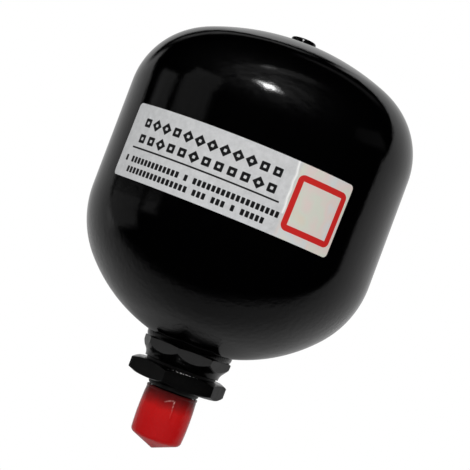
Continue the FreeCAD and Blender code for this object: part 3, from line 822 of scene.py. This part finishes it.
def cap_outline():
    cone = math.radians(CAP_CONE)
    cone_start = (
        CAP_FOOT - CAP_CORNER * (1 - math.sin(cone)),
        CAP_FOOT_HEIGHT - CAP_CORNER * math.cos(cone),
    )
    apex = cone_start[1] - cone_start[0] * math.tan(cone)
    nose_centre = apex + CAP_NOSE / math.cos(cone)
    inner_apex = apex + CAP_WALL / math.cos(cone)
    inside = CAP_INSIDE - CAP_WALL
    slope = [cone_start, (CAP_NOSE * math.sin(cone), nose_centre - CAP_NOSE * math.cos(cone))]
    return [
        (CAP_INSIDE, CAP_TOP - CAP_LIP),
        (CAP_INSIDE + CAP_LIP, CAP_TOP),
        *arc((CAP_RIM - CAP_LIP, CAP_TOP - CAP_LIP), CAP_LIP, 80, 0, 5),
        (CAP_RIM, CAP_TOP - 0.75),
        (CAP_RIM - 0.16, CAP_TOP - 0.95),
        *swollen((CAP_RIM - 0.14, CAP_TOP - 1.1), (CAP_FOOT, CAP_FOOT_HEIGHT), CAP_SWELL, 110),
        *arc((CAP_FOOT - CAP_CORNER, CAP_FOOT_HEIGHT), CAP_CORNER, 0, CAP_CONE - 90, 12)[1:],
        *finely(slope, 0.5)[1:],
        *arc((0, nose_centre), CAP_NOSE, CAP_CONE - 90, -90, 6),
        (0, inner_apex),
        (inside, inner_apex + inside * math.tan(cone)),
        (CAP_INSIDE, CAP_FOOT_HEIGHT + CAP_WALL / 2),
    ]


def make_protective_cap():
    """a thin pushed-on cap with a lip, slight sagging and one sharp fold in front, lightened there by a
    painted highlight.
    It is left out of mirror images, because the photo shows no red in the paint above it."""
    def soft(radius, height, angle):
        if radius <= CAP_INSIDE or height > CAP_TOP - 0.3:
            return radius
        across, deep = radius * math.cos(angle), radius * math.sin(angle)
        sag = 0.10 * noise.noise(Vector((across, deep, height * 0.7)) * 0.22)
        sag += 0.035 * noise.noise(Vector((across, deep, height)) * 0.9)
        if deep > 0:
            return radius + sag
        hollow = 0.20 * ridge(across - 0.9, height + 1.2, CREASE, 1.1)
        return radius + sag + 0.22 * ridge(across, height, CREASE, 0.42) - hollow

    # painted highlight along the fold, strongest near its corner and uneven
    def painted_crease_highlight(across, deep, height):
        uneven = 0.55 + 0.9 * noise.noise(Vector((across, height, 3)) * 1.3)
        off_corner = (Vector((across, height)) - CREASE_CORNER).length / CREASE_FADE
        fading = 0.85 * math.exp(-off_corner ** 2)
        return (deep < 0) * max(0, uneven * fading) * ridge(across, height, CREASE, 0.2)

    mesh = lathe("protective_cap_skin", cap_outline(), around=FINELY_AROUND, reach=soft)
    mark(mesh, "crease_highlight", painted_crease_highlight)
    piece = new_piece("protective_cap_skin", mesh, RED_VINYL, "protective_cap")
    piece.visible_glossy = False


# Gas plug and its seal

PLUG_AROUND = 192
SOCKET_FLAT = 2.0
SOCKET_CORNER = SOCKET_FLAT / math.cos(math.pi / 6)
SOCKET_BEVEL = 0.2
SOCKET_DEPTH = 3.0
HEAD_ROUND = 0.7
HEAD_BEVEL = 0.15
SHANK_RADIUS = 3.0
SHANK_BEVEL = 0.6
PLUG_SEAL_BEVEL = 0.1
# places and widths of the two painted glints on the plug's head
PLUG_GLINTS = [(-0.3, -4.6, HEAD_TOP - 0.8, 0.6), (1.5, -4.35, HEAD_TOP - 1.0, 0.45)]
PLUG_GLINT_SHARE = 1.7


def make_gas_plug():
    """a low round head with a hexagon socket and two painted glints on it; below it lies a metal washer"""
    head_radius = size_of("gas_plug")[1].x
    rounding = head_radius - HEAD_ROUND
    outline = [
        (0, PLUG_TIP),
        (SHANK_RADIUS - SHANK_BEVEL, PLUG_TIP),
        (SHANK_RADIUS, PLUG_TIP + SHANK_BEVEL),
        (SHANK_RADIUS, HEAD_FOOT),
        (head_radius - HEAD_BEVEL, HEAD_FOOT),
        (head_radius, HEAD_FOOT + HEAD_BEVEL),
        *arc((rounding, HEAD_TOP - HEAD_ROUND), HEAD_ROUND, 0, 90, 10),
        (rounding - 0.4, HEAD_TOP),
        (rounding - 0.8, HEAD_TOP),
        (SOCKET_CORNER + SOCKET_BEVEL, HEAD_TOP),
        (SOCKET_CORNER, HEAD_TOP - SOCKET_BEVEL),
        (SOCKET_CORNER, HEAD_TOP - SOCKET_DEPTH),
        (0, HEAD_TOP - SOCKET_DEPTH),
    ]
    flats = flat_reach(6, 0, lambda height: SOCKET_FLAT)

    def reach(radius, height, angle):
        in_socket = 0 < radius <= SOCKET_CORNER and height > HEAD_FOOT - 2
        return flats(radius, height, angle) if in_socket else radius

    # painted highlights: the share of glint specks round the two places
    def glint_share(*place):
        return sum(
            PLUG_GLINT_SHARE * math.exp(-(math.dist(place, middle) / width) ** 2)
            for *middle, width in PLUG_GLINTS
        )

    mesh = lathe("gas_plug_screw", outline, around=PLUG_AROUND, reach=reach)
    mark(mesh, "painted_glints", glint_share)
    new_piece("gas_plug_screw", mesh, BOSS_PAINT, "gas_plug")
    outside = size_of("gas_plug_seal")[1].x
    washer = washer_outline(PLUG_BORE, outside, SPOT_FACE, HEAD_FOOT, PLUG_SEAL_BEVEL)
    turned_piece("gas_plug_washer", washer, SEAL_METAL, "seal_metal", "gas_plug_seal", around=PLUG_AROUND)


# Inside: the diaphragm, and the metal pieces that keep their CAD meshes

RUBBER_WALL = 2.0
RUBBER_GAP = 0.3
BUTTON_TOP = SEAT_HEIGHT + 2.0
BUTTON_RADIUS = 11.0
BUTTON_BEVEL = 0.5
STEM_RADIUS = 4.0
LAP_WIDTH = 3.5


def make_diaphragm():
    """a bowl of rubber that lies along the inside of the lower dome, with a bead at its rim and a flat,
    holed middle
    """
    under = SHELL_WALL + RUBBER_GAP
    over = under + RUBBER_WALL
    lap = BUTTON_RADIUS + LAP_WIDTH
    outline = [
        (SHELL_RADIUS - over, RIM_BEAD_TOP),
        (RING_RADIUS, RIM_BEAD_TOP),
        (RING_RADIUS, RIM_LEDGE),
        (SHELL_RADIUS - under, RIM_LEDGE),
        *dome_line(LOWER_DOME, under, lap),
        (BUTTON_RADIUS + BUTTON_BEVEL, BUTTON_TOP),
        (STEM_RADIUS + RUBBER_GAP, BUTTON_TOP),
        (STEM_RADIUS + RUBBER_GAP, BUTTON_TOP + RUBBER_WALL),
        (BUTTON_RADIUS, BUTTON_TOP + RUBBER_WALL),
        *reversed(dome_line(LOWER_DOME, over, lap - BUTTON_BEVEL)),
    ]
    piece = turned_piece("diaphragm_bag", outline, RUBBER, "black_rubber", "diaphragm")
    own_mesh(piece)


def finish_cad_nodes():
    for node in ("clamp_ring", "valve_button", "gas_insert", "insert_weld"):
        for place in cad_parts[node].material_slots:
            place.material = STEEL


# Label

LABEL_FILM = 0.12
LABEL_BACK = 0.01
LABEL_CORNER = 1.5
LABEL_TURN = -100.0
LABEL_SKEW = 1.6
LABEL_GRID = 0.35
LABEL_SHARP = 40.0
LABEL_MIDDLE = sum(corner.z for corner in size_of("label")) / 2
FOLD_HEIGHT = 0.16
FOLD_WIDTH = 0.42
WORN_WIDTH = 0.33


def rounded(along, up):
    """pulls a point of the grid's outer strip in to the label's rounded corner"""
    inner_along, inner_up = LABEL_LENGTH / 2 - LABEL_CORNER, LABEL_HEIGHT / 2 - LABEL_CORNER
    off = Vector((max(0, abs(along) - inner_along), max(0, abs(up) - inner_up)))
    if off.x > 0 and off.y > 0:
        off = off * (max(off.x, off.y) / off.length)
    return (
        math.copysign(min(abs(along), inner_along) + off.x, along),
        math.copysign(min(abs(up), inner_up) + off.y, up),
    )


def on_shell(along, up, lift):
    """a point of the label on the cylinder, in metres"""
    skew = math.radians(LABEL_SKEW)
    height = LABEL_MIDDLE + up * math.cos(skew) - along * math.sin(skew)
    angle = math.radians(LABEL_TURN) + (along * math.cos(skew) + up * math.sin(skew)) / SHELL_RADIUS
    radius = SHELL_RADIUS + lift
    return (radius * math.cos(angle) * MM, radius * math.sin(angle) * MM, height * MM)


def make_label():
    """a film wrapped on the cylinder, with a raised, whitened fold and a slightly uneven face"""
    columns = round(LABEL_LENGTH / LABEL_GRID)
    rows = round(LABEL_HEIGHT / LABEL_GRID)
    places = [
        rounded(LABEL_LENGTH * (column / columns - 0.5), LABEL_HEIGHT * (row / rows - 0.5))
        for row in range(rows + 1)
        for column in range(columns + 1)
    ]

    def lift(along, up):
        uneven = 0.03 * noise.noise(Vector((along, up, 0)) * 0.35)
        return LABEL_FILM + FOLD_HEIGHT * ridge(along, up, FOLD, FOLD_WIDTH) + uneven

    vertices = [on_shell(along, up, lift(along, up)) for along, up in places]
    vertices += [on_shell(along, up, LABEL_BACK) for along, up in places]
    back = len(places)
    wide = columns + 1
    faces = []
    for row in range(rows):
        for column in range(columns):
            first = row * wide + column
            face = (first, first + 1, first + wide + 1, first + wide)
            faces += [face, tuple(back + corner for corner in reversed(face))]
    rim = list(range(wide))
    rim += [row * wide + columns for row in range(1, rows + 1)]
    rim += [rows * wide + column for column in range(columns - 1, -1, -1)]
    rim += [row * wide for row in range(rows - 1, 0, -1)]
    faces += [(end, start, back + start, back + end) for start, end in zip(rim, rim[1:] + rim[:1])]

    mesh = bpy.data.meshes.new("label_film")
    mesh.from_pydata(vertices, [], faces)
    mesh.update()
    layout = mesh.uv_layers.new(name="label_place")
    worn = mesh.attributes.new("fold", "FLOAT", "POINT")
    worn.data.foreach_set("value", [ridge(along, up, FOLD, WORN_WIDTH) for along, up in places] * 2)
    for loop in mesh.loops:
        along, up = places[loop.vertex_index % back]
        layout.data[loop.index].uv = (along / LABEL_LENGTH + 0.5, up / LABEL_LENGTH + 0.5)
    mesh.shade_smooth()
    mesh.set_sharp_from_angle(angle=math.radians(LABEL_SHARP))
    new_piece("label_film", mesh, LABEL_SILVER, "label")


make_shells()
make_port_boss()
make_boss_weld()
make_port_adapter()
make_port_seals()
make_protective_cap()
make_gas_plug()
make_diaphragm()
make_label()
finish_cad_nodes()


# Camera

PIXELS = 470
PIXEL_MM = 0.358
AIM = Vector((1.25, 0, 57.8))
EYE = Vector((1.25, -544.0, 38.8))
ROLL = 20.6
SENSOR = 36.0


def make_camera():
    """stands where the photo's camera stood, and rolled as it was"""
    data = bpy.data.cameras.new("camera")
    data.sensor_width = SENSOR
    data.sensor_fit = "HORIZONTAL"
    data.lens = SENSOR * (AIM - EYE).length / (PIXELS * PIXEL_MM)
    data.clip_start = 0.01
    camera = bpy.data.objects.new("camera", data)
    bpy.context.scene.collection.objects.link(camera)
    forward = (AIM - EYE).normalized()
    right = forward.cross(Vector((0, 0, 1))).normalized()
    up = right.cross(forward)
    lean = math.radians(ROLL)
    camera_right = math.cos(lean) * right + math.sin(lean) * up
    camera_up = -math.sin(lean) * right + math.cos(lean) * up
    turn = Matrix((camera_right, camera_up, -forward)).transposed()
    camera.matrix_world = Matrix.Translation(EYE * MM) @ turn.to_4x4()
    bpy.context.scene.camera = camera


# The photo's studio, drawn in the world for glossy rays alone. Paint sees a pale backdrop behind and below,
# a paned window on the left, a long strip and a lamp overhead and two thin lines over the crest.
# All the rest is dark. Azimuth runs from +Y towards +X.

BACKDROP = {"azimuth": 10.5, "elevation": -27.0, "half_angle": 76.0, "level": 0.185, "least": 0.02}
PANE_LEVEL = 0.17
RIGHT_PANE_LEVEL = PANE_LEVEL / 4
PANES = [
    {"azimuth": (-129, -98), "elevation": (4.5, 30), "level": PANE_LEVEL},
    {"azimuth": (-90, -70), "elevation": (4, 16), "level": PANE_LEVEL},
    {"azimuth": (-118, -105), "elevation": (-8, 2), "level": PANE_LEVEL},
    {"azimuth": (-100, -66), "elevation": (-22, 2), "level": PANE_LEVEL},
    {"azimuth": (80, 110), "elevation": (17, 31), "level": RIGHT_PANE_LEVEL},
]
LAMP = {"azimuth": -165.0, "elevation": 42.0, "lean": -9.0, "strength": 42.0, "wide": 0.105, "high": 0.058}
FAN = {"right": -0.03, "up": 0.10, "wide": 0.42, "high": 0.32, "level": 0.62}
STRIP_SLANT = 0.2
NO_LIMIT = 2

# What everything else is lit by: a soft light, stronger from the front and from above

SOFT_LEVEL = 0.44
SOFT_FRONT = 0.68
SOFT_ABOVE = 0.35


def direction(azimuth, elevation):
    """a unit vector"""
    flat = math.cos(math.radians(elevation))
    turn = math.radians(azimuth)
    return Vector((flat * math.sin(turn), flat * math.cos(turn), math.sin(math.radians(elevation))))


def between(field, low, high, edge):
    """1 between two values, with edges of the given width"""
    return ((field - low) / edge + 0.5).clamped() * ((-field + high) / edge + 0.5).clamped()


def hill(*offsets):
    """a smooth hill of height 1; each offset is given in its own half widths"""
    total = offsets[0] * offsets[0]
    for offset in offsets[1:]:
        total = total + offset * offset
    return (-total).math("EXPONENT")


class Sky:
    """the world's directions and two noises over them, from which the studio is drawn"""

    def __init__(self, tree):
        self.right, self.back, self.up = axes(tree, coordinates(tree, "Generated"))
        self.patches = cloud(tree, 7.0, 4.0, 0.6, space="Generated")
        self.lines = cloud(tree, 9.0, 4.0, 0.6, stretch=(0.6, 3.2, 2.6), space="Generated")
        self.swaying_back = self.back + (self.patches - 0.5) * 0.05

    def along(self, axis):
        return self.right * axis.x + self.back * axis.y + self.up * axis.z

    def backdrop(self):
        """a wide disc behind and below; a box hides its upper left part"""
        right, back, up = self.right, self.back, self.up
        toward = self.along(direction(BACKDROP["azimuth"], BACKDROP["elevation"]))
        toward = toward - up.most(0) * 0.11 + (self.patches - 0.5) * 0.05
        toward = toward - hill((right + 0.15) / 0.45) * (-up).most(0) * 0.06
        disc = between(toward, math.cos(math.radians(BACKDROP["half_angle"])), NO_LIMIT, 0.035)
        box = between(right, -0.62, 0.13, 0.08) * between(up, 0.25, NO_LIMIT, 0.1)
        box = box * between(self.swaying_back, -NO_LIMIT, 0.82, 0.03)
        level_side = back * 0.36 + right * 0.07 + BACKDROP["level"]
        level_below = between(back, 0.32, NO_LIMIT, 0.36) * 0.15 + right.most(0) * 0.1 + 0.145
        sideways = ((abs(right) + up * 0.9 + 0.15) / 0.35).clamped()
        return mixed_field(sideways, level_below, level_side).most(BACKDROP["least"]) * disc * box.opposite()

    def window(self):
        """ragged panes on the left and a faint one on the right"""
        azimuth = self.right.math("ARCTAN2", self.back) * (180 / math.pi)
        elevation = self.up.math("ARCSINE") * (180 / math.pi)
        ragged = (self.lines - 0.5) * 0.7 + (self.patches - 0.5) * 0.5
        panes = ragged * 0
        for pane in PANES:
            across = between(azimuth + ragged * 26, *pane["azimuth"], 4)
            over = between(elevation + ragged * 5, *pane["elevation"], 3)
            panes = panes + across * over * pane["level"]
        return panes * (self.lines * 1.1 + 0.45)

    def lamp(self):
        """a small bright lamp with streaks fanning out round it"""
        middle = direction(LAMP["azimuth"], LAMP["elevation"])
        level_across = Vector((0, 0, 1)).cross(middle).normalized()
        level_over = middle.cross(level_across)
        lean = math.radians(LAMP["lean"])
        across = self.along(level_across * math.cos(lean) + level_over * math.sin(lean))
        over = self.along(level_over * math.cos(lean) - level_across * math.sin(lean))
        front = between(self.along(middle), 0.3, NO_LIMIT, 0.1)
        sway = (self.lines - 0.5) * 0.10
        off = abs(across + sway) / LAMP["wide"] + abs(over + sway) / LAMP["high"]
        fan = hill((across - FAN["right"]) / FAN["wide"], (over - FAN["up"]) / FAN["high"])
        fan = fan * (self.lines * 3.6 - 1.2).most(0) * FAN["level"]
        return (hill(off * 0.95) * LAMP["strength"] + fan) * front

    def strips(self):
        """a long streaky strip overhead with one bright spot, and the two lines over the crest"""
        right, up = self.right, self.up
        place = self.back - right * STRIP_SLANT
        overhead = between(up, 0.5, NO_LIMIT, 0.2)
        strip = between(place + (self.patches - 0.5) * 0.06, -0.35, -0.2, 0.03)
        strip = strip * (self.lines * 1.6 - 0.1).most(0)
        strip = strip * (hill((right - 0.02) / 0.22) * 0.30 + hill((right + 0.35) / 0.30) * 0.10)
        spot = hill((right + 0.22) / 0.06, (place + 0.24) / 0.03) * 1.6
        left_line = between(self.swaying_back, 0.68, 0.75, 0.03) * between(right, -0.5, 0.02, 0.1) * 0.16
        right_line = between(self.swaying_back, 0.44, 0.52, 0.06) * between(right, 0.02, 0.5, 0.15) * 0.06
        return (strip + spot) * overhead + (left_line + right_line) * between(up, 0.3, NO_LIMIT, 0.1)


def make_world():
    world = bpy.data.worlds.new("studio")
    bpy.context.scene.world = world
    world.use_nodes = True
    tree = world.node_tree
    sky = Sky(tree)
    seen = sky.backdrop() + sky.window() + sky.lamp() + sky.strips()
    soft = (-sky.back).most(0) * SOFT_FRONT + sky.up.most(0) * SOFT_ABOVE + SOFT_LEVEL
    path = add(tree, "ShaderNodeLightPath")
    glossy = Field(tree, path.outputs["Is Glossy Ray"])
    clear = Field(tree, path.outputs["Is Camera Ray"]).most(Field(tree, path.outputs["Is Transmission Ray"]))
    background = tree.nodes["Background"]
    background.inputs["Color"].default_value = (1, 1, 1, 1)
    mixed_field(glossy, soft, seen).most(clear).feed(background.inputs["Strength"])
    # Light sampling can't tell glossy rays apart, and would light the object with the lamp's reflection.
    world.cycles.sampling_method = "NONE"


KEY_DIRECTION = Vector((-0.194, -0.711, 0.676))
KEY_AIM = Vector((0, 0, 0.065))
KEY_DISTANCE = 0.9


def make_key_light():
    """a soft lamp for what isn't a mirror; the paint shows the studio's own lamp instead"""
    data = bpy.data.lights.new("window", "AREA")
    data.shape = "RECTANGLE"
    data.size, data.size_y = 0.25, 0.14
    data.energy = 1.6
    light = bpy.data.objects.new("window", data)
    bpy.context.scene.collection.objects.link(light)
    light.location = KEY_AIM + KEY_DISTANCE * KEY_DIRECTION.normalized()
    light.rotation_euler = KEY_DIRECTION.to_track_quat("Z", "Y").to_euler()
    light.visible_glossy = False


FLOOR_HEIGHT = -0.125
FLOOR_RADIUS = 0.190
FLOOR_CLEAR_FROM = 0.35
FLOOR_RINGS = 24
FLOOR_AROUND = 96


def make_floor_paint():
    """pale, fading out towards the rim, and clear from below"""
    material, tree, shader = new_material("pale_floor")
    shader.inputs["Base Color"].default_value = (0.9, 0.9, 0.9, 1)
    shader.inputs["Roughness"].default_value = 0.9
    across, deep, _ = axes(tree, coordinates(tree))
    distance = (across * across + deep * deep).math("SQRT")
    fade = add(tree, "ShaderNodeMapRange", interpolation_type="SMOOTHSTEP",
               inputs={1: FLOOR_RADIUS * FLOOR_CLEAR_FROM, 2: FLOOR_RADIUS})
    distance.feed(fade.inputs["Value"])
    underside = add(tree, "ShaderNodeNewGeometry").outputs["Backfacing"]
    blend = add(tree, "ShaderNodeMixShader")
    Field(tree, fade.outputs["Result"]).most(Field(tree, underside)).feed(blend.inputs["Fac"])
    tree.links.new(shader.outputs["BSDF"], blend.inputs[1])
    tree.links.new(add(tree, "ShaderNodeBsdfTransparent").outputs["BSDF"], blend.inputs[2])
    tree.links.new(blend.outputs["Shader"], tree.nodes["Material Output"].inputs["Surface"])
    return material


def make_floor():
    """a disc that fades into the white backdrop and keeps the object's shadow"""
    vertices = [(0, 0, FLOOR_HEIGHT)]
    for ring in range(1, FLOOR_RINGS + 1):
        for step in range(FLOOR_AROUND):
            angle = math.tau * step / FLOOR_AROUND
            radius = FLOOR_RADIUS * ring / FLOOR_RINGS
            vertices.append((radius * math.cos(angle), radius * math.sin(angle), FLOOR_HEIGHT))
    faces = []
    for step in range(FLOOR_AROUND):
        beside = (step + 1) % FLOOR_AROUND
        faces.append((0, 1 + step, 1 + beside))
        for ring in range(FLOOR_RINGS - 1):
            near, far = 1 + ring * FLOOR_AROUND, 1 + (ring + 1) * FLOOR_AROUND
            faces.append((near + step, far + step, far + beside, near + beside))
    mesh = bpy.data.meshes.new("floor")
    mesh.from_pydata(vertices, [], faces)
    mesh.materials.append(make_floor_paint())
    floor = bpy.data.objects.new("floor", mesh)
    bpy.context.scene.collection.objects.link(floor)
    floor.visible_glossy = False


bpy.context.scene.view_settings.view_transform = "Standard"
make_camera()
make_world()
make_key_light()
make_floor()
